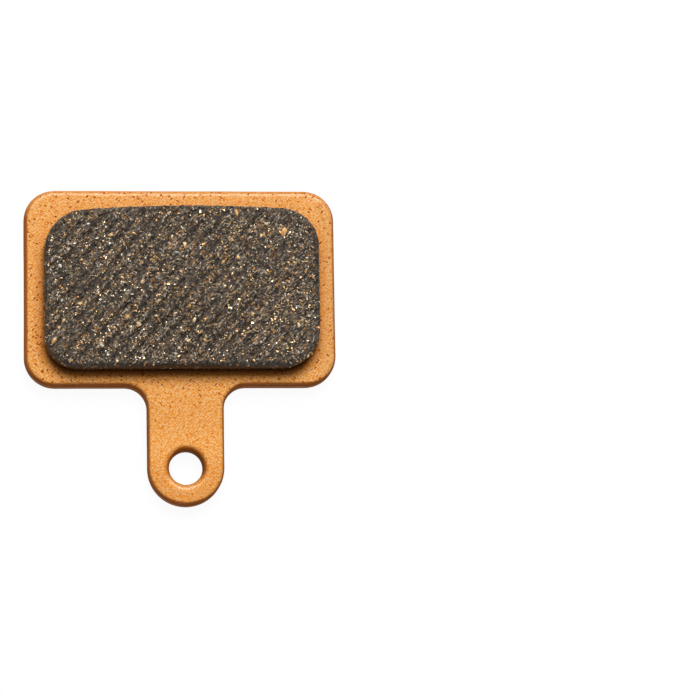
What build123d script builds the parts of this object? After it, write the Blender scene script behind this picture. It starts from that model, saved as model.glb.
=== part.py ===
from build123d import *

# Bicycle disc brake pad: a stamped steel backing plate with a tab for the retaining pin,
# and the ribbed block of friction compound that is bonded to its front face.
#
# Millimetres. The pad lies on its back. +Z points out of the friction face, +Y runs from the
# tab towards the plate, and the origin is the middle of the pad's outline at the back face.

import os
from math import ceil, cos, hypot, radians, sin, sqrt

# Backing plate
plate_width = 28.5
plate_height = 18.2
plate_thickness = 1.8
plate_corner_radius = 2.8
front_edge_radius = 0.4
back_edge_radius = 0.25

# Tab, with the hole that the retaining pin goes through
tab_width = 7.0
tab_offset = 0.4  # the tab's middle lies this far to the right of the plate's middle
tab_reach = 7.45  # from the plate's lower edge to the middle of the hole
tab_root_radius = 2.05
pin_hole_diameter = 3.1
pin_hole_front_radius = 0.45

# Bare plate that shows around the friction block
rim_left = 1.85
rim_right = 1.6
rim_top = 1.75
rim_bottom = 1.6

# Friction block
block_thickness = 2.2
block_top_left_radius = 3.8
block_top_right_radius = 3.5
block_bottom_left_radius = 2.9
block_bottom_right_radius = 3.4
block_arch_radius = 130.0  # of the top edge, which bows up a little
block_crown_shift = 1.25  # its highest point lies this far to the right of the block's middle
block_edge_radius = 0.35

# Slanting ribs pressed into the friction face, with a groove between each two
rib_pitch = 1.16
rib_slant = 48.0  # degrees, from +X towards +Y
groove_width = 0.7
groove_depth = 0.14
groove_shift = -0.24  # the middle groove passes this far from the block's middle, across the ribs

# Places that follow from the sizes
plate_middle_y = (tab_reach + tab_width / 2) / 2
plate_top_y = plate_middle_y + plate_height / 2
plate_bottom_y = plate_middle_y - plate_height / 2
pin_hole_y = plate_bottom_y - tab_reach

block_left_x = -plate_width / 2 + rim_left
block_right_x = plate_width / 2 - rim_right
block_bottom_y = plate_bottom_y + rim_bottom
block_top_y = plate_top_y - rim_top
block_width = block_right_x - block_left_x
block_height = block_top_y - block_bottom_y
block_middle_x = (block_left_x + block_right_x) / 2
block_middle_y = (block_bottom_y + block_top_y) / 2
friction_face_z = plate_thickness + block_thickness


def plate_outline():
    """The plate and its round-ended tab, drawn flat, with the two inner corners eased."""
    body = Pos(0, plate_middle_y) * RectangleRounded(plate_width, plate_height, plate_corner_radius)
    stem_height = plate_middle_y - pin_hole_y
    stem = Pos(tab_offset, pin_hole_y + stem_height / 2) * Rectangle(tab_width, stem_height)
    tab_end = Pos(tab_offset, pin_hole_y) * Circle(tab_width / 2)
    outline = body + stem + tab_end
    corners = outline.vertices()
    left_root = corners.sort_by_distance((tab_offset - tab_width / 2, plate_bottom_y))[0]
    right_root = corners.sort_by_distance((tab_offset + tab_width / 2, plate_bottom_y))[0]
    return fillet([left_root, right_root], tab_root_radius)


def backing_plate():
    """Stamped plate with rolled edges and the retaining pin's hole."""
    blank = extrude(plate_outline(), plate_thickness)
    blank = fillet(blank.faces().sort_by(Axis.Z)[-1].edges(), front_edge_radius)
    hole = Cylinder(pin_hole_diameter / 2, plate_thickness, align=(Align.CENTER, Align.CENTER, Align.MIN))
    plate = blank - Pos(tab_offset, pin_hole_y) * hole
    hole_front_rim = plate.faces().sort_by(Axis.Z)[-1].inner_wires()[0].edges()
    plate = fillet(hole_front_rim, pin_hole_front_radius)
    return fillet(plate.faces().sort_by(Axis.Z)[0].edges(), back_edge_radius)


def block_outline():
    """Rectangle with four rounded corners, whose top edge bows up to a crown, drawn flat."""
    crown_x = block_middle_x + block_crown_shift
    left_run = crown_x - block_left_x
    right_run = block_right_x - crown_x
    left_drop = block_arch_radius - sqrt(block_arch_radius**2 - left_run**2)
    right_drop = block_arch_radius - sqrt(block_arch_radius**2 - right_run**2)
    left_foot = (block_left_x, block_bottom_y)
    right_foot = (block_right_x, block_bottom_y)
    left_shoulder = (block_left_x, block_top_y - left_drop)
    right_shoulder = (block_right_x, block_top_y - right_drop)
    sides = [
        Line(left_foot, right_foot),
        Line(right_foot, right_shoulder),
        ThreePointArc(right_shoulder, (crown_x, block_top_y), left_shoulder),
        Line(left_shoulder, left_foot),
    ]
    outline = make_face(sides)
    roundings = [
        (left_shoulder, block_top_left_radius),
        (right_shoulder, block_top_right_radius),
        (left_foot, block_bottom_left_radius),
        (right_foot, block_bottom_right_radius),
    ]
    for corner, radius in roundings:
        outline = fillet(outline.vertices().sort_by_distance(corner)[0], radius)
    return outline


def rib_grooves():
    """V-shaped cutters, side by side, that leave the slanting ribs standing on the friction face."""
    slant = radians(rib_slant)
    length = hypot(block_width, block_height)
    span = abs(block_width * sin(slant)) + abs(block_height * cos(slant))
    grooves_each_side = ceil(span / 2 / rib_pitch)
    # the groove's slopes are carried on above the face, so that the cutter's lid stands clear of it
    root = (0, -groove_depth)
    right_lip = (groove_width, groove_depth)
    left_lip = (-groove_width, groove_depth)
    section = make_face(Polyline(root, right_lip, left_lip, close=True))
    cutter = extrude(Plane.XZ * section, length / 2, both=True)
    across_ribs = Pos(block_middle_x, block_middle_y, friction_face_z) * Rot(Z=rib_slant - 90)
    steps = range(-grooves_each_side, grooves_each_side + 1)
    return [across_ribs * Pos(X=groove_shift + step * rib_pitch) * cutter for step in steps]


def friction_block():
    """Pressed block of friction compound, standing on the plate's front face."""
    block = Pos(Z=plate_thickness) * extrude(block_outline(), block_thickness)
    block = fillet(block.faces().sort_by(Axis.Z)[-1].edges(), block_edge_radius)
    return block - rib_grooves()


os.makedirs("parts", exist_ok=True)
export_step(backing_plate(), "parts/backing_plate.step")
export_step(friction_block(), "parts/friction_block.step")
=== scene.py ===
import math
import random

import bmesh
import bpy
from mathutils import Matrix, Vector, noise
from mathutils.bvhtree import BVHTree


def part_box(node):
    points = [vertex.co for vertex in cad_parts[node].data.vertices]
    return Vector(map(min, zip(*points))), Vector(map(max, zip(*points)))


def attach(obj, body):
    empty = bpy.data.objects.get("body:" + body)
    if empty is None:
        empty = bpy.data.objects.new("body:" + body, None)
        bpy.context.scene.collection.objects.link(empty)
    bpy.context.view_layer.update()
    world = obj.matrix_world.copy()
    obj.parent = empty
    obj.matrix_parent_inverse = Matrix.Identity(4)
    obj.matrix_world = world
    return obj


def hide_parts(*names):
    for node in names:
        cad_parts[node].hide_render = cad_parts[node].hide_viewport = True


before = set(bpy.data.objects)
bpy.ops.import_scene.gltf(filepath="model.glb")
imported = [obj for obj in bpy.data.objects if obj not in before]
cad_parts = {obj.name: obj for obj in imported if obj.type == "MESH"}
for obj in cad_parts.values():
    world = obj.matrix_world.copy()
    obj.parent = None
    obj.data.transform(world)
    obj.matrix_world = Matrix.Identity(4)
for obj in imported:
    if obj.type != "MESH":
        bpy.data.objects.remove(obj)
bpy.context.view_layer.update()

scene = bpy.context.scene
mm = 0.001  # pieces are shaped in millimetres and brought to metres when they are placed
noise.seed_set(7)

plateLow, plateHigh = (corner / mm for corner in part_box("backing_plate"))
blockLow, blockHigh = (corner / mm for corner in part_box("friction_block"))
blockMiddle = (blockLow + blockHigh) / 2
plateHalf = 9.1  # half of the plate's height, without the tab
tabOffset = 0.4  # the tab's middle lies this far to the right of the plate's
tabRadius = 3.5
plateMiddle = Vector((0.0, plateHigh.y - plateHalf, plateHigh.z))
pinHole = Vector((tabOffset, plateLow.y + tabRadius))


def softStep(low, high, value):
    t = min(1.0, max(0.0, (value - low) / (high - low)))
    return t * t * (3 - 2 * t)


def ripple(point, size, shift=(0, 0, 0)):
    # smooth noise with lumps of about this size, and the shift gives each use places of its own
    return noise.noise(point / size + Vector(shift))


def paint(red, green, blue):
    # a colour as a picture editor shows it, 0 to 255, turned into the linear one that nodes take
    linear = []
    for level in (red, green, blue):
        share = level / 255
        linear.append(share / 12.92 if share <= 0.04045 else ((share + 0.055) / 1.055) ** 2.4)
    return (*linear, 1.0)


# meshes

def cadCopy(node):
    bm = bmesh.new()
    bm.from_mesh(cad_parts[node].data)
    bmesh.ops.remove_doubles(bm, verts=bm.verts, dist=1e-7)
    bmesh.ops.scale(bm, vec=(1 / mm, 1 / mm, 1 / mm), verts=bm.verts)
    return bm


def evenSkin(bm, cell, name):
    # the same shape in small even quads, so that fine relief can be pushed into it
    rough = bpy.data.meshes.new(name + "Rough")
    bm.to_mesh(rough)
    bm.free()
    holder = bpy.data.objects.new(name + "Rough", rough)
    scene.collection.objects.link(holder)
    remesh = holder.modifiers.new("even", "REMESH")
    remesh.mode = "VOXEL"
    remesh.voxel_size = cell
    remesh.use_smooth_shade = True
    remeshed = holder.evaluated_get(bpy.context.evaluated_depsgraph_get())
    skin = bpy.data.meshes.new_from_object(remeshed)
    skin.name = name
    bpy.data.objects.remove(holder)
    bpy.data.meshes.remove(rough)
    return skin


def writeMasks(mesh, masks):
    for name, values in masks.items():
        mesh.attributes.new(name, "FLOAT", "POINT").data.foreach_set("value", values)


def placePiece(mesh, name, material, standsFor=None):
    mesh.transform(Matrix.Scale(mm, 4))
    mesh.materials.clear()
    mesh.materials.append(material)
    for polygon in mesh.polygons:
        polygon.material_index = 0
    piece = bpy.data.objects.new(name, mesh)
    scene.collection.objects.link(piece)
    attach(piece, "root")
    if standsFor:
        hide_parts(standsFor)
    triangles = sum(len(polygon.vertices) - 2 for polygon in mesh.polygons)
    print(name, "placed,", triangles, "triangles")
    return piece


# node helpers

def feed(tree, socket, value):
    if isinstance(value, bpy.types.NodeSocket):
        tree.links.new(value, socket)
    else:
        socket.default_value = value


def addNode(tree, kind, inputs=None, **options):
    node = tree.nodes.new(kind)
    for name, value in options.items():
        setattr(node, name, value)
    for name, value in (inputs or {}).items():
        feed(tree, node.inputs[name], value)
    return node


def calc(tree, operation, first, second=0.0):
    node = addNode(tree, "ShaderNodeMath", operation=operation)
    feed(tree, node.inputs[0], first)
    feed(tree, node.inputs[1], second)
    return node.outputs[0]


def part(tree, mask, share):
    return calc(tree, "MULTIPLY", mask, share)


def rise(tree, value, low, high):
    # 0 up to low, 1 from high on, smooth between; low may be the larger, and then it falls
    node = addNode(tree, "ShaderNodeMapRange", interpolation_type="SMOOTHSTEP")
    feed(tree, node.inputs["Value"], value)
    feed(tree, node.inputs["From Min"], low)
    feed(tree, node.inputs["From Max"], high)
    return node.outputs["Result"]


def tint(tree, amount, under, over):
    node = addNode(tree, "ShaderNodeMix", data_type="RGBA", blend_type="MIX")
    feed(tree, node.inputs[0], amount)
    feed(tree, node.inputs[6], under)
    feed(tree, node.inputs[7], over)
    return node.outputs[2]


def cloud(tree, vector, scale, detail=2.0, rough=0.5, warp=0.0, seed=0.0):
    node = addNode(tree, "ShaderNodeTexNoise", noise_dimensions="4D")
    feed(tree, node.inputs["W"], seed)
    feed(tree, node.inputs["Vector"], vector)
    feed(tree, node.inputs["Scale"], scale)
    feed(tree, node.inputs["Detail"], detail)
    feed(tree, node.inputs["Roughness"], rough)
    feed(tree, node.inputs["Distortion"], warp)
    return node.outputs["Fac"]


def attribute(tree, name):
    return addNode(tree, "ShaderNodeAttribute", attribute_name=name).outputs["Fac"]


def millimetres(tree):
    # object coordinates in millimetres, so that texture scales read as counts per millimetre
    place = addNode(tree, "ShaderNodeTexCoord").outputs["Object"]
    mapping = addNode(tree, "ShaderNodeMapping", {"Vector": place, "Scale": (1 / mm, 1 / mm, 1 / mm)})
    return mapping.outputs["Vector"]


def around(tree, field, middle, swing):
    swung = calc(tree, "MULTIPLY", calc(tree, "SUBTRACT", field, 0.5), swing)
    return calc(tree, "ADD", swung, middle)


def stacked(tree, height, layers):
    # a height with masks added to it, each by its own amount
    for mask, amount in layers:
        height = calc(tree, "ADD", height, part(tree, mask, amount))
    return height


def addBump(tree, shader, height, depth, strength=1.0):
    given = {"Strength": strength, "Distance": depth * mm, "Height": height}
    bump = addNode(tree, "ShaderNodeBump", given)
    feed(tree, shader.inputs["Normal"], bump.outputs["Normal"])


def newMaterial(name):
    material = bpy.data.materials.new(name)
    material.use_nodes = True
    tree = material.node_tree
    tree.nodes.clear()
    shader = addNode(tree, "ShaderNodeBsdfPrincipled")
    out = addNode(tree, "ShaderNodeOutputMaterial")
    tree.links.new(shader.outputs["BSDF"], out.inputs["Surface"])
    return material, tree, shader


def newGroup(name, inputs, outputs):
    group = bpy.data.node_groups.new(name, "ShaderNodeTree")
    kinds = {"vector": "NodeSocketVector", "value": "NodeSocketFloat"}
    for label, kind in inputs.items():
        group.interface.new_socket(name=label, in_out="INPUT", socket_type=kinds[kind])
    for label, kind in outputs.items():
        group.interface.new_socket(name=label, in_out="OUTPUT", socket_type=kinds[kind])
    return group, group.nodes.new("NodeGroupInput").outputs, group.nodes.new("NodeGroupOutput").inputs


def placeGroup(tree, group, inputs):
    node = addNode(tree, "ShaderNodeGroup", node_tree=group)
    for name, value in inputs.items():
        feed(tree, node.inputs[name], value)
    return node.outputs


# short curved strokes: the level lines of a warped noise, broken up by a second one
def makeStrokeGroup():
    group, given, result = newGroup(
        "curvedStrokes",
        {"Vector": "vector", "Scale": "value", "Width": "value", "Cover": "value", "Seed": "value"},
        {"Strokes": "value"},
    )
    where = given["Vector"]
    field = cloud(group, where, given["Scale"], detail=1.0, rough=0.4, warp=1.2, seed=given["Seed"])
    offLine = calc(group, "ABSOLUTE", calc(group, "SUBTRACT", field, 0.5))
    line = rise(group, offLine, given["Width"], 0.0)
    gateScale = calc(group, "MULTIPLY", given["Scale"], 1.5)
    gateSeed = calc(group, "ADD", given["Seed"], 5.0)
    gateField = cloud(group, where, gateScale, detail=0.0, warp=0.6, seed=gateSeed)
    gateLow = calc(group, "SUBTRACT", 1.0, given["Cover"])
    gate = rise(group, gateField, gateLow, calc(group, "ADD", gateLow, 0.08))
    feed(group, result["Strokes"], calc(group, "MULTIPLY", line, gate))
    return group


# scattered dots: the cores of those cells whose random number falls in the wanted share
def makeDotGroup(name, dimensions):
    group, given, result = newGroup(
        name,
        {"Vector": "vector", "Scale": "value", "Share": "value", "Radius": "value"},
        {"Dots": "value", "Tone": "value"},
    )
    cells = addNode(group, "ShaderNodeTexVoronoi", feature="F1", voronoi_dimensions=dimensions)
    feed(group, cells.inputs["Vector"], given["Vector"])
    feed(group, cells.inputs["Scale"], given["Scale"])
    split = addNode(group, "ShaderNodeSeparateColor", {"Color": cells.outputs["Color"]})
    chosen = calc(group, "LESS_THAN", split.outputs["Red"], given["Share"])
    solid = calc(group, "MULTIPLY", given["Radius"], 0.6)
    core = rise(group, cells.outputs["Distance"], given["Radius"], solid)
    feed(group, result["Dots"], calc(group, "MULTIPLY", chosen, core))
    feed(group, result["Tone"], split.outputs["Green"])
    return group


# grain drawn out along one slant, around 0.5
def makeGrainGroup():
    group, given, result = newGroup(
        "slantedGrain",
        {"Vector": "vector", "Scale": "value", "Slant": "value", "Seed": "value"},
        {"Grain": "value"},
    )
    turned = addNode(group, "ShaderNodeVectorRotate", rotation_type="Z_AXIS")
    feed(group, turned.inputs["Vector"], given["Vector"])
    feed(group, turned.inputs["Angle"], calc(group, "MULTIPLY", given["Slant"], -1.0))
    drawn = addNode(group, "ShaderNodeVectorMath", operation="MULTIPLY")
    feed(group, drawn.inputs[0], turned.outputs["Vector"])
    feed(group, drawn.inputs[1], (0.42, 1.0, 0.7))  # the smaller, the longer the grain that way
    along = drawn.outputs["Vector"]
    field = cloud(group, along, given["Scale"], detail=0.0, warp=0.2, seed=given["Seed"])
    feed(group, result["Grain"], field)
    return group


strokeGroup = makeStrokeGroup()
dotGroup = makeDotGroup("scatteredDots", "3D")
flatDotGroup = makeDotGroup("flatDots", "2D")
grainGroup = makeGrainGroup()


def grain(tree, where, scale, slant, seed):
    given = {"Vector": where, "Scale": scale, "Slant": slant, "Seed": seed}
    return placeGroup(tree, grainGroup, given)["Grain"]


def curved(tree, where, scale, width, cover, seed):
    given = {"Vector": where, "Scale": scale, "Width": width, "Cover": cover, "Seed": seed}
    return placeGroup(tree, strokeGroup, given)["Strokes"]


def dots(tree, where, scale, share, radius):
    given = {"Vector": where, "Scale": scale, "Share": share, "Radius": radius}
    return placeGroup(tree, dotGroup, given)["Dots"]


print("node groups made")


# backing plate
copper = {
    "face": paint(235, 155, 60),
    # light is the brush marks' lighter colour, which is also the lit side of their painted relief; shade
    # is their painted shade
    "light": paint(244, 203, 140),
    "shade": paint(228, 124, 20),
    "dash": paint(192, 75, 0),
    "speck": paint(214, 118, 26),
    "pit": paint(146, 52, 0),
    # the edges' own darker colour, which also carries their painted shade
    "wall": paint(160, 88, 28),
    "band": paint(206, 148, 98),
    "mottle": paint(112, 58, 18),
    # painted shade around the block's foot and on the hole's rim
    "paintedShade": paint(174, 88, 8),
    # a darker, duller colour for the left, right and top rims
    "rimTone": paint(176, 134, 88),
    # painted shadow at the block's foot, on one side of the hole and on rolled edges facing the tab
    "paintedShadow": paint(44, 20, 1),
    "sheen": paint(255, 214, 164),
}

# marks of the brush: each lies in a cell of this length and width, this share of the cells has one,
# its radius is a share of the cell, and the shift gives each kind places of its own
copperMarks = {
    "stroke": {"length": 0.38, "width": 0.13, "share": 1.0, "radius": 0.4, "shift": (0.0, 0.0, 0.0)},
    "dash": {"length": 0.52, "width": 0.16, "share": 0.12, "radius": 0.37, "shift": (7.3, 14.6, 0.0)},
    "pit": {"length": 0.44, "width": 0.19, "share": 0.056, "radius": 0.39, "shift": (11.9, 23.8, 0.0)},
    "slants": (0.8, -0.6),  # the marks run these two ways
    "shadeOffset": 0.09,  # a bright stroke's painted shade lies this far across it
}

copperGloss = {
    "roughness": 0.68,
    "roughSwing": 0.25,
    "metallic": 0.1,
    "specular": 0.05,
    "coat": 0.4,
    "coatRoughness": 0.13,
    "bump": 0.014,
}


def dashes(tree, where, slant, mark, aside):
    # dots drawn out along a slant, each as strong as its cell's random tone, moved down across the slant
    # by aside, which places a bright stroke's painted shade
    space = addNode(tree, "ShaderNodeMapping", {"Vector": where}, vector_type="TEXTURE")
    space.inputs["Location"].default_value = (aside * math.sin(slant), -aside * math.cos(slant), 0.0)
    space.inputs["Rotation"].default_value = (0.0, 0.0, slant)
    space.inputs["Scale"].default_value = (mark["length"], mark["width"], 1.0)
    given = {
        "Vector": space.outputs["Vector"],
        "Scale": 1.0,
        "Share": mark["share"],
        "Radius": mark["radius"],
    }
    cells = placeGroup(tree, flatDotGroup, given)
    return part(tree, cells["Dots"], around(tree, cells["Tone"], 0.65, 0.7))


def crossed(tree, where, mark, aside=0.0):
    # dashes both ways, as a wire brush leaves them
    moved = addNode(tree, "ShaderNodeVectorMath", operation="ADD")
    feed(tree, moved.inputs[0], where)
    feed(tree, moved.inputs[1], mark["shift"])
    place = moved.outputs["Vector"]
    rising, falling = (dashes(tree, place, slant, mark, aside) for slant in copperMarks["slants"])
    return calc(tree, "MAXIMUM", rising, falling)


def makeCopper():
    material, tree, shader = newMaterial("copperFinish")
    where = millimetres(tree)
    tilt = attribute(tree, "tilt")
    paintedShade = attribute(tree, "paintedShade")
    wornAndLit = attribute(tree, "wornAndLit")
    flat = rise(tree, tilt, 0.5, 0.15)
    # bright brush marks, each with a darker copy beside it: the painted shade of a mark standing up in
    # light from the top
    bright = part(tree, crossed(tree, where, copperMarks["stroke"]), flat)
    shade = part(tree, crossed(tree, where, copperMarks["stroke"], copperMarks["shadeOffset"]), flat)
    dash = part(tree, crossed(tree, where, copperMarks["dash"]), wornAndLit)
    pit = part(tree, rise(tree, crossed(tree, where, copperMarks["pit"]), 0.05, 0.6), flat)
    hollow = tint(tree, rise(tree, wornAndLit, 0.4, 1.0), copper["speck"], copper["pit"])
    blotches = rise(tree, cloud(tree, where, 2.2, detail=4.0, rough=0.65, warp=0.4), 0.44, 0.7)
    mottle = part(tree, part(tree, blotches, rise(tree, tilt, 0.3, 0.9)), 0.55)
    layers = (
        (shade, copper["shade"]),
        (bright, copper["light"]),
        (dash, copper["dash"]),
        (attribute(tree, "rimTone"), copper["rimTone"]),
        (paintedShade, copper["paintedShade"]),
        (pit, hollow),
        # painted shade along the edges, over their darker colour
        (attribute(tree, "edge"), copper["wall"]),
        (attribute(tree, "band"), copper["band"]),
        (mottle, copper["mottle"]),
        (attribute(tree, "paintedShadow"), copper["paintedShadow"]),
    )
    tone = copper["face"]
    for mask, colour in layers:
        tone = tint(tree, mask, tone, colour)
    feed(tree, shader.inputs["Base Color"], tone)
    fine = cloud(tree, where, 6.0, detail=1.0, warp=0.8)
    height = stacked(tree, part(tree, fine, 0.5), ((bright, 0.1), (dash, -0.2), (pit, -0.4)))
    height = part(tree, height, rise(tree, tilt, 0.3, 0.05))
    addBump(tree, shader, height, copperGloss["bump"])
    roughness = around(tree, fine, copperGloss["roughness"], copperGloss["roughSwing"])
    feed(tree, shader.inputs["Roughness"], roughness)
    metallic = part(tree, rise(tree, tilt, 0.6, 0.2), copperGloss["metallic"])
    feed(tree, shader.inputs["Metallic"], metallic)
    clean = rise(tree, calc(tree, "MAXIMUM", pit, dash), 0.15, 0.0)
    glossy = part(tree, rise(tree, tilt, 0.6, 0.3), rise(tree, paintedShade, 0.4, 0.0))
    glossy = part(tree, glossy, clean)
    feed(tree, shader.inputs["Coat Weight"], part(tree, glossy, copperGloss["coat"]))
    shader.inputs["Specular IOR Level"].default_value = copperGloss["specular"]
    shader.inputs["Specular Tint"].default_value = copper["sheen"]
    shader.inputs["Coat Roughness"].default_value = copperGloss["coatRoughness"]
    return material


plateSize = {
    "cell": 0.13,
    "swayLength": 4.0,  # slow waviness of the stamped edges
    "sway": 0.02,
    "peelLength": 0.5,  # orange peel left by the blasting
    "peel": 0.010,
    "shadowReach": 0.5,  # painted shadow on the plate along the foot of the block
    "paintedShadow": 0.9,
    "shadeReach": 1.35,  # and paler painted shade farther out, strongest towards the tab
    "paintedShade": 0.4,
    "shadeLean": 0.22,
    "rimTone": 0.17,  # the left, right and top rims are darker and duller
    "leftRimTone": 0.6,
    "rightRimTone": 1.4,
    "topRimTone": 0.4,
    "rimToneAtSides": (11.8, 13.4),  # it comes up between these distances from the middle line
    "rimToneAtTop": (11.0, 13.0),  # and between these heights
    "tabEnd": 0.22,  # the plate is darker again on the tab's end
    "darkerOnTab": (-9.0, -13.0),
    "holeShadeSide": Vector((0.64, 0.77)),  # painted shade on this side of the hole's rim
    "holeShade": 0.3,
    "holeShadeReach": (1.75, 2.2),  # from the middle of the hole
    "holeRimShade": 0.6,  # painted shade on the hole's rim, but for the side next to the tab's end
    "rimReach": (1.7, 2.2),
    "wornAndLit": 0.55,  # painted highlight: the dark edges are lighter on the side away from the tab, which faces the light
    "band": 0.5,  # the shear leaves a brighter band a little above half way up the edges
    "bandFoot": (0.8, 1.1),
    "bandTop": (1.3, 1.55),
    "roll": 0.28,  # painted shade on the rolled front edge on the side of the tab, which faces away from the light
    "tabTop": -4.5,  # below this height only the tab is left
    "tabMarks": 0.35,  # the tab has weaker dashes and pits than the plate
    "marksGrow": (-7.0, -3.0),  # they come to full strength between these heights
}

plateMasks = ("tilt", "edge", "band", "paintedShadow", "paintedShade", "rimTone", "wornAndLit")


def shadedEdge(point, lean, facing):
    # painted shade with the edges' own darker colour: it is narrower on the right side, and a little so
    # on the left of the tab, and lighter where the edge faces away from the tab, towards the light
    slim = softStep(0.3, 0.9, facing.x)
    if point.y < plateSize["tabTop"]:
        slim = max(slim, 0.5 * softStep(0.3, 0.9, -facing.x))
    edge = softStep(0.001 + 0.06 * slim, 0.06 + 0.24 * slim, lean)
    return edge * (1 - plateSize["wornAndLit"] * softStep(0.0, 0.7, facing.y))


def shearBand(point, lean):
    band = softStep(*plateSize["bandFoot"], point.z) * (1 - softStep(*plateSize["bandTop"], point.z))
    return plateSize["band"] * band * softStep(0.5, 0.8, lean)


def markStrength(point, lean):
    grown = softStep(*plateSize["marksGrow"], point.y)
    strength = plateSize["tabMarks"] + (1 - plateSize["tabMarks"]) * grown
    return strength * (1 - softStep(0.2, 0.6, lean))


# painted shade on the rolled front edge where it faces the tab's end, away from the light
def rolledEdge(lean, facing):
    roll = softStep(0.01, 0.1, lean) * (1 - softStep(0.5, 0.8, lean))
    return plateSize["roll"] * roll * softStep(0.2, 0.8, -facing.y)


def holeShading(away):
    # painted shadow on one side of the pin's hole and painted shade on its upper rim
    aim = away.normalized()
    side = softStep(-0.3, 0.6, aim.dot(plateSize["holeShadeSide"]))
    paintedShadow = plateSize["holeShade"] * side * (1 - softStep(*plateSize["holeShadeReach"], away.length))
    upper = softStep(-0.8, -0.2, aim.y)
    paintedShade = plateSize["holeRimShade"] * upper * (1 - softStep(*plateSize["rimReach"], away.length))
    return paintedShadow, paintedShade


def footShading(point, blockSkin):
    # painted shadow and painted shade around the foot of the block, and darker again on the tab's end
    nearest, outward, face, gap = blockSkin.find_nearest(point)
    up = (point.y - nearest.y) / max(gap, 1e-6)
    reach = plateSize["shadowReach"] * (0.7 - 0.5 * up)
    paintedShadow = plateSize["paintedShadow"] * (0.5 - 0.5 * up) * (1 - softStep(0.0, reach, gap))
    paintedShade = plateSize["paintedShade"] - plateSize["shadeLean"] * up
    paintedShade *= 1 - softStep(0.0, plateSize["shadeReach"], gap)
    return paintedShadow, max(paintedShade, plateSize["tabEnd"] * softStep(*plateSize["darkerOnTab"], point.y))


def rimToneMask(point):
    strength = plateSize["rightRimTone"] if point.x > 0 else plateSize["leftRimTone"]
    sides = softStep(*plateSize["rimToneAtSides"], abs(point.x)) * strength
    top = plateSize["topRimTone"] * softStep(*plateSize["rimToneAtTop"], point.y)
    return plateSize["rimTone"] * max(sides, top)


def makePlate():
    skin = evenSkin(cadCopy("backing_plate"), plateSize["cell"], "backingPlate")
    masks = {name: [0.0] * len(skin.vertices) for name in plateMasks}
    foot = cadCopy("friction_block")
    blockSkin = BVHTree.FromBMesh(foot)
    foot.free()
    normals = [vert.normal.copy() for vert in skin.vertices]
    for vert, normal in zip(skin.vertices, normals):
        lean = 1 - abs(normal.z)
        facing = normal.xy.normalized()
        away = vert.co.xy - pinHole
        masks["tilt"][vert.index] = lean
        masks["edge"][vert.index] = shadedEdge(vert.co, lean, facing)
        masks["band"][vert.index] = shearBand(vert.co, lean)
        masks["wornAndLit"][vert.index] = markStrength(vert.co, lean)
        paintedShadow = rolledEdge(lean, facing) if normal.z > 0 else 0.0
        paintedShade = 0.0
        if normal.z > -0.2 and away.length < plateSize["rimReach"][1]:
            paintedShadow, paintedShade = holeShading(away)
        elif normal.z > 0.7:
            footShadow, paintedShade = footShading(vert.co, blockSkin)
            paintedShadow = max(footShadow, paintedShadow)
            masks["rimTone"][vert.index] = rimToneMask(vert.co)
        masks["paintedShadow"][vert.index] = paintedShadow
        masks["paintedShade"][vert.index] = paintedShade
        sway = ripple(vert.co, plateSize["swayLength"]) * plateSize["sway"] * lean
        calm = 1 - 0.7 * softStep(0.02, 0.3, lean)
        peel = ripple(vert.co, plateSize["peelLength"]) * plateSize["peel"] * calm
        vert.co += normal * (sway + peel)
    writeMasks(skin, masks)
    placePiece(skin, "backingPlate", makeCopper(), "backing_plate")


makePlate()


# friction block
blockSize = {
    "cell": 0.083,
    "sunk": 0.08,  # the foot goes this far into the plate, so that no gap shows
    "shove": 0.04,  # above the foot it stands this far to the right
    "wallsIn": 0.03,  # its walls are drawn in by this much
    "wallGrain": 0.3,  # the walls keep this share of the broken grain
    "rimGrain": 0.5,  # and the rim of the face loses this share of it
    "rimShade": 0.6,  # the rim gets this share of the walls' painted shade
    "bounceHeights": (2.5, 3.2),  # painted light bounced from the plate makes the walls lighter below these heights
}


def makeWalls():
    bm = cadCopy("friction_block")
    others = [face for face in bm.faces if abs(face.normal.z) > 0.3]
    bmesh.ops.delete(bm, geom=others, context="FACES")
    walls = BVHTree.FromBMesh(bm)
    bm.free()
    return walls


blockWalls = makeWalls()


def nearRim(point):
    # 1 up to 0.2 mm from the block's outline, 0 from 0.7 mm on, and how far the outline there
    # faces away from the tab
    here = Vector((point.x, point.y, blockMiddle.z))
    nearest, facing, face, gap = blockWalls.find_nearest(here)
    return 1 - softStep(0.2, 0.7, gap), facing.y


ribs = {
    "pitch": 1.16,
    "slant": math.radians(48),
    "shift": -0.24,
    "width": 0.7,
    "depth": 0.14,
    "root": 0.045,  # the grooves' sharp roots go this much deeper
    "sway": 0.11,  # how far the ribs wander sideways
    "swayLength": 2.6,
    "beadPitch": 1.25,  # beads along the ribs, not quite evenly spaced
    "bead": 0.03,
    "beadDrift": 4.0,
    "driftSize": 3.0,
    "open": 0.86,  # share of a groove's depth that is open on the whole
    "openMore": 0.35,  # it is more around one place to the lower left of the middle
    "openPlace": (-1.5, -3.5),
    "openSpread": (5.0, 3.5),
    "closed": 0.4,  # and less on the right, between these distances from the middle
    "closedSpan": (2.0, 10.0),
    "patchSize": 1.9,  # it also varies in patches and in smaller spots
    "patch": 0.4,
    "spotSize": 0.75,
    "spot": 0.35,
    "mostOpen": 1.3,
    "rimClosed": 0.7,
}

crumb = {
    "bendSize": 0.55,
    "bend": 0.16,
    "strokeSize": 0.36,
    "strokeWidth": 0.22,
    "stroke": 0.035,
    "lumpSize": 0.6,
    "lump": 0.06,
    "gritSize": 0.2,
    "grit": 0.045,
    "gateSize": 0.7,  # the strokes come and go in patches of this size
    "calmSize": 1.4,  # and so does all of the grain
    "calmest": 0.55,
    "calmSwing": 0.6,
    "lowered": 0.01,
}


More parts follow.
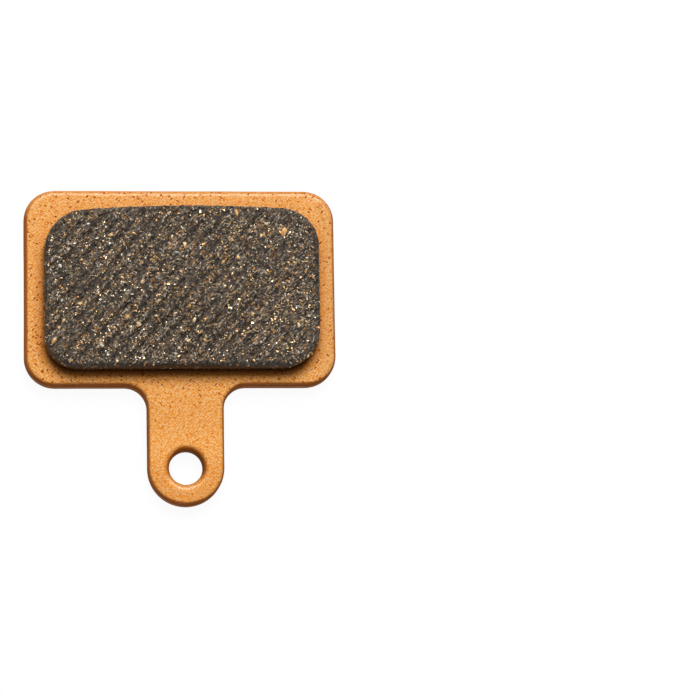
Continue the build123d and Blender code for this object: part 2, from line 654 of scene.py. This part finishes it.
def ribShape(point):
    # how much the cad's surface is raised here, and how deep in an open groove the point lies
    x = point.x - blockMiddle.x
    y = point.y - blockMiddle.y
    across = x * math.sin(ribs["slant"]) - y * math.cos(ribs["slant"]) - ribs["shift"]
    along = x * math.cos(ribs["slant"]) + y * math.sin(ribs["slant"])
    turn = across / ribs["pitch"]
    groove = max(0.0, 1 - 2 * abs(turn - round(turn)) * ribs["pitch"] / ribs["width"])
    flat = Vector((point.x, point.y, 0.0))
    openX = (x - ribs["openPlace"][0]) / ribs["openSpread"][0]
    openY = (y - ribs["openPlace"][1]) / ribs["openSpread"][1]
    share = ribs["open"] + ribs["openMore"] * math.exp(-openX ** 2 - openY ** 2)
    share -= ribs["closed"] * softStep(*ribs["closedSpan"], x)
    patch = ribs["patch"] * ripple(flat, ribs["patchSize"], (7, 3, 0))
    share += patch + ribs["spot"] * ripple(flat, ribs["spotSize"])
    share = min(ribs["mostOpen"], max(0.0, share)) * (1 - ribs["rimClosed"] * nearRim(point)[0])
    drift = ribs["beadDrift"] * ripple(flat, ribs["driftSize"])
    bead = math.sin(2 * math.pi * along / ribs["beadPitch"] + drift)
    height = ribs["depth"] * (1 - share) * groove + ribs["bead"] * bead * (1 - groove)
    return height - ribs["root"] * share * groove ** 3, groove * share


def crumbRelief(point):
    # height of the broken grain
    bent = point + noise.noise_vector(point / crumb["bendSize"]) * crumb["bend"]
    stroke = max(0.0, 1 - abs(ripple(bent, crumb["strokeSize"])) / crumb["strokeWidth"])
    gate = softStep(-0.25, 0.15, ripple(point, crumb["gateSize"], (3, 9, 4)))
    cells, places = noise.voronoi(point / crumb["lumpSize"])
    lump = 0.45 - cells[0]
    grit = noise.fractal(point / crumb["gritSize"], 0.6, 2.1, 2)
    height = stroke * gate * crumb["stroke"] + lump * crumb["lump"] + grit * crumb["grit"]
    calm = softStep(-0.3, 0.3, ripple(point, crumb["calmSize"], (5, 1, 8)))
    return height * (crumb["calmest"] + crumb["calmSwing"] * calm) - crumb["lowered"]


def coarseFoot(mesh):
    # the bonded face is never seen, so it is one face instead of thousands
    bm = bmesh.new()
    bm.from_mesh(mesh)
    hidden = [face for face in bm.faces if face.normal.z < -0.9]
    bmesh.ops.delete(bm, geom=hidden, context="FACES")
    rim = [edge for edge in bm.edges if edge.is_boundary]
    bmesh.ops.holes_fill(bm, edges=rim, sides=0)
    for face in bm.faces:
        face.smooth = True
    bm.to_mesh(mesh)
    bm.free()


compound = {
    "hollowShade": paint(42, 34, 27),
    "body": paint(78, 66, 55),
    "crestHighlight": paint(103, 89, 74),
    "grooveShade": paint(30, 23, 17),
    # painted shade on the walls, and painted light bounced from the plate near their foot
    "side": paint(24, 15, 6),
    "bounceLight": paint(118, 76, 32),
    "bronze": paint(132, 94, 52),
    "light": paint(176, 160, 136),
    "dark": paint(30, 25, 20),
    "swirl": paint(196, 166, 126),
    "pore": paint(22, 18, 14),
}


compoundGloss = {
    "roughness": 0.55,
    "roughSwing": 0.4,
    "specular": 0.4,
    "bump": 0.09,
}


def makeCompound():
    material, tree, shader = newMaterial("frictionCompound")
    where = millimetres(tree)
    relief = attribute(tree, "relief")
    # painted shade in the hollows of the grain and painted highlight on its crests
    tone = tint(tree, rise(tree, relief, -0.06, 0.0), compound["hollowShade"], compound["body"])
    tone = tint(tree, rise(tree, relief, 0.0, 0.05), tone, compound["crestHighlight"])
    patches = rise(tree, cloud(tree, where, 1.9, detail=2.0, rough=0.6, warp=0.5), 0.57, 0.66)
    rising = grain(tree, where, scale=7.0, slant=0.84, seed=5.0)
    falling = grain(tree, where, scale=7.0, slant=-0.5, seed=6.0)
    light = rise(tree, rising, 0.54, 0.76)
    dark = calc(tree, "MAXIMUM", rise(tree, rising, 0.46, 0.24), rise(tree, falling, 0.42, 0.22))
    crack = curved(tree, where, scale=1.6, width=0.045, cover=0.52, seed=9.0)
    swirl = curved(tree, where, scale=2.8, width=0.09, cover=0.42, seed=4.0)
    pores = dots(tree, where, scale=3.6, share=0.25, radius=0.25)
    # painted shade in the open grooves, strongest at their roots
    root = calc(tree, "POWER", attribute(tree, "grooveShade"), 1.5)
    edge = tint(tree, attribute(tree, "bounceLight"), compound["side"], compound["bounceLight"])
    layers = (
        (patches, 0.65, compound["bronze"]),
        (light, 0.7, compound["light"]),
        (dark, 0.8, compound["dark"]),
        (crack, 0.85, compound["pore"]),
        (pores, 0.8, compound["pore"]),
        (swirl, 0.5, compound["swirl"]),
        (root, 0.5, compound["grooveShade"]),
        (attribute(tree, "side"), 0.8, edge),
    )
    for mask, share, colour in layers:
        tone = tint(tree, part(tree, mask, share), tone, colour)
    feed(tree, shader.inputs["Base Color"], tone)
    fine = cloud(tree, where, 7.0, detail=1.0, rough=0.6, warp=0.8)
    marks = ((swirl, 0.5), (light, 0.4), (dark, -0.5), (pores, -0.7), (crack, -0.8))
    addBump(tree, shader, stacked(tree, fine, marks), compoundGloss["bump"])
    roughness = around(tree, fine, compoundGloss["roughness"], compoundGloss["roughSwing"])
    feed(tree, shader.inputs["Roughness"], roughness)
    shader.inputs["Specular IOR Level"].default_value = compoundGloss["specular"]
    return material


def makeBlock():
    skin = evenSkin(cadCopy("friction_block"), blockSize["cell"], "frictionBlock")
    coarseFoot(skin)
    masks = {name: [0.0] * len(skin.vertices) for name in ("relief", "grooveShade", "side", "bounceLight")}
    normals = [vert.normal.copy() for vert in skin.vertices]
    for vert, normal in zip(skin.vertices, normals):
        top = softStep(0.3, 0.9, normal.z)
        rim, upward = nearRim(vert.co)
        crumbs = crumbRelief(vert.co) * (1 - blockSize["rimGrain"] * rim * top)
        fill, grooveShade = ribShape(vert.co)
        kept = blockSize["wallGrain"] + (1 - blockSize["wallGrain"]) * top
        height = fill * top + crumbs * kept - blockSize["wallsIn"] * (1 - top)
        masks["relief"][vert.index] = crumbs
        masks["grooveShade"][vert.index] = grooveShade * top
        # painted shade on the walls and the rim, left off where they face away from the tab, towards the
        # light
        steep = 1 - softStep(0.7, 0.998, normal.z)
        dark = max(steep, blockSize["rimShade"] * rim)
        masks["side"][vert.index] = dark * (1 - softStep(0.2, 0.8, upward))
        masks["bounceLight"][vert.index] = 1 - softStep(*blockSize["bounceHeights"], vert.co.z)
        sway = noise.noise_vector(vert.co / ribs["swayLength"]) * ribs["sway"] * top * (1 - rim)
        raised = softStep(blockLow.z, blockLow.z + 0.3, vert.co.z)
        vert.co += normal * height * raised
        vert.co.x += sway.x + blockSize["shove"] * raised
        vert.co.y += sway.y
        vert.co.z -= blockSize["sunk"] * (1 - softStep(blockLow.z, blockLow.z + 0.2, vert.co.z))
    writeMasks(skin, masks)
    skin.update()
    return placePiece(skin, "frictionBlock", makeCompound(), "friction_block")


block = makeBlock()


# chips and fibres of metal in the compound
strewing = {
    "face": (0.25, 0.06),  # the face lies between these depths below the top
    "fewest": 0.05,  # chance of keeping a place just below it
    "wallsFrom": 0.5,  # from this depth on it is the walls
    "onWalls": 0.08,
    "lessInGrooves": 0.9,
    "lessOnRim": 0.7,
    "patchSize": 0.9,
    "foot": 0.25,  # no place is this near to the plate
}


def scatter(count, clump, dice):
    # random places on the block with their normals, fewer on its walls, its rim and in the grooves
    chosen = []
    skin = block.data.vertices
    while len(chosen) < count:
        vert = skin[dice.randrange(len(skin))]
        point = vert.co / mm
        lowest, highest = (blockHigh.z - depth for depth in strewing["face"])
        top = softStep(lowest, highest, point.z)
        odds = strewing["onWalls"]
        if point.z > blockHigh.z - strewing["wallsFrom"]:
            odds = strewing["fewest"] + (1 - strewing["fewest"]) * top
        inGroove = strewing["lessInGrooves"] * min(1.0, 1.3 * ribShape(point)[1])
        onRim = strewing["lessOnRim"] * nearRim(point)[0]
        odds *= (1 - inGroove * top) * (1 - onRim * top)
        patch = ripple(point, strewing["patchSize"], (clump * 9, 2, 6))
        odds *= 1 - clump + clump * softStep(-0.2, 0.25, patch)
        if dice.random() < odds and point.z > blockLow.z + strewing["foot"]:
            chosen.append((point, vert.normal.copy()))
    return chosen


def lieOn(point, normal, spin, tilt, dice):
    axis = Vector((dice.uniform(-1, 1), dice.uniform(-1, 1), 0.0)).normalized()
    place = Matrix.Translation(point) @ normal.to_track_quat("Z", "Y").to_matrix().to_4x4()
    return place @ Matrix.Rotation(tilt, 4, axis) @ Matrix.Rotation(spin, 4, "Z")


def metalTone(kind, dice):
    # steel has the first tones of the ramp, brass and copper the later ones
    if dice.random() < kind["steel"]:
        return dice.uniform(*kind["steelTones"])
    low, high = kind["warmTones"]
    return low + (high - low) * dice.random() ** kind["warmLean"]


def stampAll(name, stamps, material):
    # one mesh out of many small copies, each with a place and a tone of its own
    bm = bmesh.new()
    bm.verts.layers.float.new("tone")
    bm.verts.layers.float.new("shine")
    for pattern, place, tone, shine in stamps:
        copy = pattern.copy()
        copy.transform(place)
        copy.attributes["tone"].data.foreach_set("value", [tone] * len(copy.vertices))
        copy.attributes["shine"].data.foreach_set("value", [shine] * len(copy.vertices))
        bm.from_mesh(copy)
        bpy.data.meshes.remove(copy)
    mesh = bpy.data.meshes.new(name)
    bm.to_mesh(mesh)
    bm.free()
    return placePiece(mesh, name, material)


def pattern(bm, name):
    bmesh.ops.recalc_face_normals(bm, faces=bm.faces[:])
    mesh = bpy.data.meshes.new(name)
    bm.to_mesh(mesh)
    bm.free()
    mesh.attributes.new("tone", "FLOAT", "POINT")
    mesh.attributes.new("shine", "FLOAT", "POINT")
    return mesh


metals = {
    "stops": (
        (0.0, paint(110, 102, 92)),
        (0.22, paint(170, 160, 146)),
        (0.34, paint(228, 220, 208)),
        (0.44, paint(176, 116, 60)),
        (0.72, paint(228, 178, 114)),
        (1.0, paint(250, 224, 182)),
    ),
    "soil": paint(60, 50, 40),
}


def makeMetal(name, roughness):
    material, tree, shader = newMaterial(name)
    where = millimetres(tree)
    tone = attribute(tree, "tone")
    ramp = addNode(tree, "ShaderNodeValToRGB", {"Fac": tone})
    stops = ramp.color_ramp.elements
    while len(stops) < len(metals["stops"]):
        stops.new(0.5)
    for stop, (place, colour) in zip(stops, metals["stops"]):
        stop.position = place
        stop.color = colour
    soil = rise(tree, cloud(tree, where, 4.0, detail=2.0, rough=0.6, warp=0.4), 0.48, 0.72)
    colour = tint(tree, part(tree, soil, 0.25), ramp.outputs["Color"], metals["soil"])
    feed(tree, shader.inputs["Base Color"], colour)
    feed(tree, shader.inputs["Roughness"], around(tree, soil, roughness, 0.3))
    feed(tree, shader.inputs["Metallic"], attribute(tree, "shine"))
    addBump(tree, shader, cloud(tree, where, 9.0, detail=1.0), depth=0.02, strength=0.6)
    return material


chips = {
    "count": 3600,
    "clump": 0.5,
    "kinds": 24,
    "seed": 11,
    "size": 0.092,
    "spread": 0.45,
    "smallest": 0.06,
    "largest": 0.3,
    "stretch": (1.0, 1.9),
    "flatness": (0.4, 0.8),
    "lift": 0.05,
    "tilt": 0.4,
    "steel": 0.26,  # share of steel chips, the others are brass and copper
    "steelTones": (0.24, 0.36),
    "warmTones": (0.44, 1.0),
    "warmLean": 0.6,
    "shiny": 0.65,  # share of chips that are bare metal
    "shine": (0.45, 0.8),
    "dull": 0.15,
    "roughness": 0.38,
    "largeHeight": 0.16,
    "largeTilt": 0.12,
    "largeShine": 0.12,
    # the larger ones, listed one by one: x, y, length, width, angle and tone
    "large": (
        (9.5, 10.3, 1.0, 0.5, 51, 0.72),
        (5.1, 12.1, 0.7, 0.38, 160, 0.7),
        (-3.5, 5.7, 0.6, 0.4, 11, 0.85),
        (-11.5, 0.3, 0.8, 0.45, 8, 0.6),
        (-6.35, 10.0, 0.57, 0.35, 133, 0.72),
        (6.5, 2.7, 0.47, 0.4, 96, 0.8),
        (-4.9, 2.5, 0.6, 0.34, 170, 0.75),
        (10.7, 1.65, 0.58, 0.33, 30, 0.95),
        (0.35, 9.2, 0.5, 0.33, 103, 0.8),
        (5.2, 8.0, 0.53, 0.35, 79, 0.75),
        (-9.2, 3.7, 0.5, 0.36, 27, 0.85),
        (-10.7, 2.1, 0.5, 0.3, 0, 0.8),
    ),
}


def makeChips():
    dice = random.Random(chips["seed"])
    kinds = []
    for step in range(chips["kinds"]):
        bm = bmesh.new()
        bmesh.ops.create_icosphere(bm, subdivisions=1, radius=0.5)
        for vert in bm.verts:
            vert.co *= dice.uniform(0.7, 1.25)
        kinds.append(pattern(bm, "chipPattern"))
    stamps = []
    for point, normal in scatter(chips["count"], chips["clump"], dice):
        size = chips["size"] * math.exp(dice.gauss(0, chips["spread"]))
        size = min(chips["largest"], max(chips["smallest"], size))
        length = size * dice.uniform(*chips["stretch"])
        height = size * dice.uniform(*chips["flatness"])
        shape = Matrix.Diagonal((length, size, height, 1.0))
        spin = dice.uniform(0, math.tau)
        tilt = abs(dice.gauss(0, chips["tilt"]))
        place = lieOn(point + normal * chips["lift"], normal, spin, tilt, dice)
        tone = metalTone(chips, dice)
        shine = dice.uniform(*chips["shine"]) if dice.random() < chips["shiny"] else chips["dull"]
        stamps.append((dice.choice(kinds), place @ shape, tone, shine))
    places = [vert for vert in block.data.vertices if vert.co.z > (blockHigh.z - 0.2) * mm]
    for x, y, length, width, angle, tone in chips["large"]:
        spot = min(places, key=lambda vert: math.hypot(vert.co.x / mm - x, vert.co.y / mm - y))
        upright = (spot.normal + Vector((0, 0, 3))).normalized()
        place = lieOn(spot.co / mm, upright, math.radians(angle), chips["largeTilt"], dice)
        shape = Matrix.Diagonal((length, width, chips["largeHeight"], 1.0))
        stamps.append((dice.choice(kinds), place @ shape, tone, chips["largeShine"]))
    stampAll("metalChips", stamps, makeMetal("chipMetal", chips["roughness"]))


fibres = {
    "count": 900,
    "clump": 0.6,
    "kinds": 30,
    "seed": 23,
    "thick": 0.036,
    "sides": 4,
    "steps": 4,
    "curl": (0.1, 0.4),
    "length": (0.16, 0.46),
    "mostTurn": 4.6,
    "lift": 0.015,
    "tilt": 0.2,
    "steel": 0.45,  # share of steel fibres
    "steelTones": (0.1, 0.36),
    "warmTones": (0.43, 0.93),
    "warmLean": 1.3,
    "shine": 0.3,
    "roughness": 0.4,
}


def makeFibres():
    dice = random.Random(fibres["seed"])
    kinds = []
    for step in range(fibres["kinds"]):
        curl = dice.uniform(*fibres["curl"])
        sweep = min(fibres["mostTurn"], dice.uniform(*fibres["length"]) / curl)
        thick = fibres["thick"] * dice.uniform(0.8, 1.3)
        start = Matrix.Translation((curl, 0, 0)) @ Matrix.Rotation(math.pi / 2, 4, "X")
        bm = bmesh.new()
        bmesh.ops.create_circle(bm, cap_ends=True, segments=fibres["sides"], radius=thick, matrix=start)
        bmesh.ops.spin(bm, geom=bm.verts[:] + bm.edges[:] + bm.faces[:], cent=(0, 0, 0), axis=(0, 0, 1),
                       angle=sweep, steps=fibres["steps"], use_merge=False)
        middle = sum((vert.co for vert in bm.verts), Vector()) / len(bm.verts)
        bmesh.ops.translate(bm, vec=-middle, verts=bm.verts)
        kinds.append(pattern(bm, "fibrePattern"))
    stamps = []
    for point, normal in scatter(fibres["count"], fibres["clump"], dice):
        spin = dice.uniform(0, math.tau)
        tilt = abs(dice.gauss(0, fibres["tilt"]))
        place = lieOn(point + normal * fibres["lift"], normal, spin, tilt, dice)
        tone = metalTone(fibres, dice)
        stamps.append((dice.choice(kinds), place, tone, fibres["shine"]))
    stampAll("metalFibres", stamps, makeMetal("fibreMetal", fibres["roughness"]))


makeChips()
makeFibres()


# floor, light and camera
studio = {
    "floorSize": 4.0,
    "floorDrop": 0.00002,
    "floorShadow": 0.05,  # how much of the floor's own shading the camera sees, the rest is plain white
    "floorGrey": 0.5,
    "fill": 0.12,
    "lamps": (
        {"name": "softKey", "distance": 1.4, "width": 0.78, "height": 0.62,
         "elevation": 61, "azimuth": 6, "power": 20.0},
        {"name": "backStrip", "distance": 0.7, "width": 0.5, "height": 0.06,
         "elevation": 20, "azimuth": 6, "power": 1.2},
        {"name": "frontStrip", "distance": 0.7, "width": 0.5, "height": 0.06,
         "elevation": 9, "azimuth": 186, "power": 0.8},
    ),
}


def makeFloor():
    bm = bmesh.new()
    bmesh.ops.create_grid(bm, x_segments=1, y_segments=1, size=studio["floorSize"] / 2,
                          matrix=Matrix.Translation((0, 0, -studio["floorDrop"])))
    mesh = bpy.data.meshes.new("floor")
    bm.to_mesh(mesh)
    bm.free()
    floor = bpy.data.objects.new("floor", mesh)
    scene.collection.objects.link(floor)
    material = bpy.data.materials.new("paleFloor")
    material.use_nodes = True
    tree = material.node_tree
    tree.nodes.clear()
    out = addNode(tree, "ShaderNodeOutputMaterial")
    grey = addNode(tree, "ShaderNodeBsdfDiffuse", {"Color": (studio["floorGrey"],) * 3 + (1.0,)})
    paper = addNode(tree, "ShaderNodeBsdfDiffuse", {"Color": (1.0, 1.0, 1.0, 1.0)})
    white = addNode(tree, "ShaderNodeEmission", {"Color": (1, 1, 1, 1), "Strength": 1.0})
    shown = addNode(tree, "ShaderNodeMixShader", {0: studio["floorShadow"]})
    tree.links.new(white.outputs[0], shown.inputs[1])
    tree.links.new(paper.outputs[0], shown.inputs[2])
    path = addNode(tree, "ShaderNodeLightPath").outputs
    seen = calc(tree, "MAXIMUM", path["Is Camera Ray"], path["Is Glossy Ray"])
    seen = calc(tree, "MAXIMUM", seen, path["Is Transmission Ray"])
    pick = addNode(tree, "ShaderNodeMixShader", {0: seen})
    tree.links.new(grey.outputs[0], pick.inputs[1])
    tree.links.new(shown.outputs[0], pick.inputs[2])
    tree.links.new(pick.outputs[0], out.inputs["Surface"])
    mesh.materials.append(material)


def makeWorld():
    world = bpy.data.worlds.new("studio")
    world.use_nodes = True
    sky = world.node_tree.nodes["Background"]
    sky.inputs["Color"].default_value = (1, 1, 1, 1)
    sky.inputs["Strength"].default_value = studio["fill"]
    scene.world = world


def makeLamp(lamp):
    data = bpy.data.lights.new(lamp["name"], "AREA")
    data.shape = "RECTANGLE"
    data.size = lamp["width"]
    data.size_y = lamp["height"]
    data.energy = lamp["power"]
    elevation = math.radians(lamp["elevation"])
    azimuth = math.radians(lamp["azimuth"])
    flat = math.cos(elevation)
    towards = Vector((math.sin(azimuth) * flat, math.cos(azimuth) * flat, math.sin(elevation)))
    holder = bpy.data.objects.new(lamp["name"], data)
    holder.location = plateMiddle * mm + towards * lamp["distance"]
    holder.rotation_mode = "QUATERNION"
    holder.rotation_quaternion = towards.to_track_quat("Z", "Y")
    scene.collection.objects.link(holder)


photoView = {
    "tiltToTab": math.radians(10),
    "tiltToLeft": math.radians(3),
    "roll": math.radians(0.548),
    "distance": 287.786,
    "focalPixels": 3135.97,
    "imagePixels": 695,
    "platePixel": (180.01, 287.86),  # where the middle of the plate lies in the picture
    "sensor": 36.0,
}


def makeCamera():
    data = bpy.data.cameras.new("photoCamera")
    data.sensor_width = photoView["sensor"]
    data.lens = photoView["focalPixels"] / photoView["imagePixels"] * photoView["sensor"]
    data.clip_start = 0.01
    data.clip_end = 10.0
    camera = bpy.data.objects.new("photoCamera", data)
    leftward = math.tan(photoView["tiltToLeft"])
    tabward = math.tan(photoView["tiltToTab"])
    outward = Vector((-leftward, -tabward, 1.0)).normalized()
    right = Vector((0, 1, 0)).cross(outward).normalized()
    level = Matrix((right, outward.cross(right), outward)).transposed()
    middle = photoView["imagePixels"] / 2
    pixelX, pixelY = photoView["platePixel"]
    sight = Vector((pixelX - middle, middle - pixelY, -photoView["focalPixels"])).normalized()
    offCentre = Vector((0, 0, -1)).rotation_difference(sight).to_matrix()
    turn = level @ Matrix.Rotation(photoView["roll"], 3, "Z").transposed() @ offCentre.transposed()
    camera.location = (plateMiddle + outward * photoView["distance"]) * mm
    camera.rotation_mode = "QUATERNION"
    camera.rotation_quaternion = turn.to_quaternion()
    scene.collection.objects.link(camera)
    scene.camera = camera


makeFloor()
makeWorld()
for lamp in studio["lamps"]:
    makeLamp(lamp)
makeCamera()
scene.view_settings.view_transform = "Standard"
print("studio set up")
